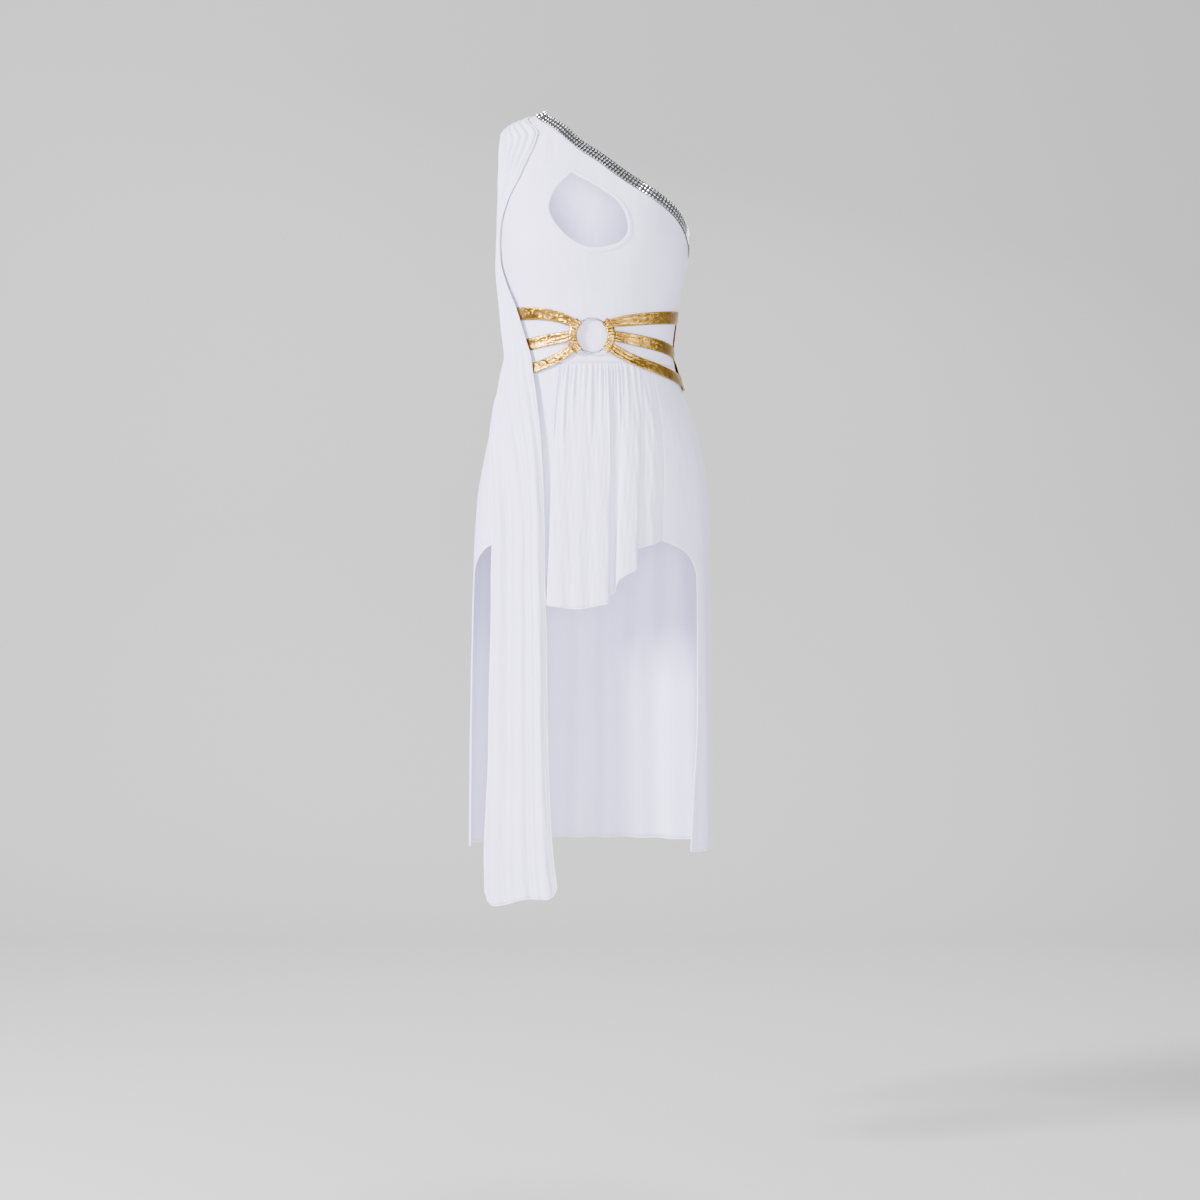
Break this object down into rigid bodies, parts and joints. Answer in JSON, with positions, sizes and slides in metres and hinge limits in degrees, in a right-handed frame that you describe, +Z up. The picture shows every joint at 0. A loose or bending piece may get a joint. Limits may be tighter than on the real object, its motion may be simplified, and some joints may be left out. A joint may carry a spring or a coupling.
{
  "type": "one-shoulder dress",
  "caption": "Worn one-shoulder dress with a keyhole front, ringed strap belt, short folded front skirt, long back tail and a hanging shoulder drape.",
  "frame": {"origin": "underside of the cloth at the middle of the shoulder ridge, where the wearer's shoulder carries the dress", "axes": "+Z up along the worn dress, -Y out of the wearer's front, +X towards the bare shoulder"},
  "size_m": [0.3441, 0.2715, 1.1065],
  "materials": {
    "jersey": "matt white stretch jersey with a faint lavender cast",
    "gold_foil": "wrinkled gold foil on stretch cloth",
    "ring_metal": "polished silver-coloured wire",
    "crystal_trim": "clear stones in silver-coloured cups"
  },
  "bodies": {
    "root": {"bodice_front": "jersey", "bodice_back": "jersey", "keyhole_binding": "jersey", "neck_trim": "crystal_trim", "skirt_front": "jersey", "skirt_back": "jersey", "shoulder_drape": "jersey", "belt_ring": "ring_metal", "belt_tab_left": "gold_foil", "belt_tab_right": "gold_foil", "belt_strap_left_top": "gold_foil", "belt_strap_left_middle": "gold_foil", "belt_strap_left_low": "gold_foil", "belt_strap_right_top": "gold_foil", "belt_strap_right_middle": "gold_foil", "belt_strap_right_low": "gold_foil", "belt_back": "gold_foil"}
  },
  "joints": []
}
